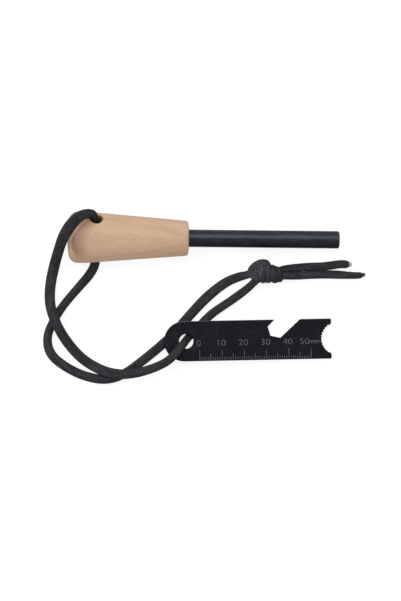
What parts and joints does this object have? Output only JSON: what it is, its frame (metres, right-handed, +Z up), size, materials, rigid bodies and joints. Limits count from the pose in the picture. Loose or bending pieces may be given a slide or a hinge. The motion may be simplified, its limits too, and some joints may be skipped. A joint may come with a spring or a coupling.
{
  "type": "ferro rod fire starter",
  "caption": "Fire starter laid out flat: turned wooden handle with a round ferro rod, a flat steel striker with rule, opener hook and toothed hollow, joined by a knotted cord lanyard.",
  "frame": {"origin": "on the table, under the middle of the box round the handle, rod and striker, without the lanyard", "axes": "+X along the tool in plan, from the handle's butt to the rod's tip; +Y from the striker towards the tool; +Z up from the table"},
  "size_m": [0.1432, 0.0782, 0.0251],
  "materials": {
    "handle_wood": "sanded light hardwood, thin oil",
    "ferro_rod": "dark drawn ferrocerium, slightly pitted",
    "adhesive": "cured epoxy",
    "black_steel": "matte black oxide with etched light marks",
    "lanyard_cord": "braided nylon sheath",
    "melted_cord": "melted nylon"
  },
  "bodies": {
    "tool": {"handle": "handle_wood", "ferro_rod": "ferro_rod", "rod_adhesive": "adhesive", "lanyard_over_strand": "lanyard_cord", "lanyard_under_strand": "lanyard_cord", "lanyard_knot": "lanyard_cord", "lanyard_tail_upper": "lanyard_cord", "lanyard_tail_lower": "lanyard_cord", "tail_seal_upper": "melted_cord", "tail_seal_lower": "melted_cord"},
    "striker": {"striker_plate": "black_steel"}
  },
  "joints": [
    {"name": "striker_swing", "type": "hinge", "parent": "tool", "child": "striker", "pos_m": [-0.00724, -0.02427, 0.00536], "axis": [0.0672, 0.0019, 0.9977], "range_deg": [-75, 0]}
  ]
}
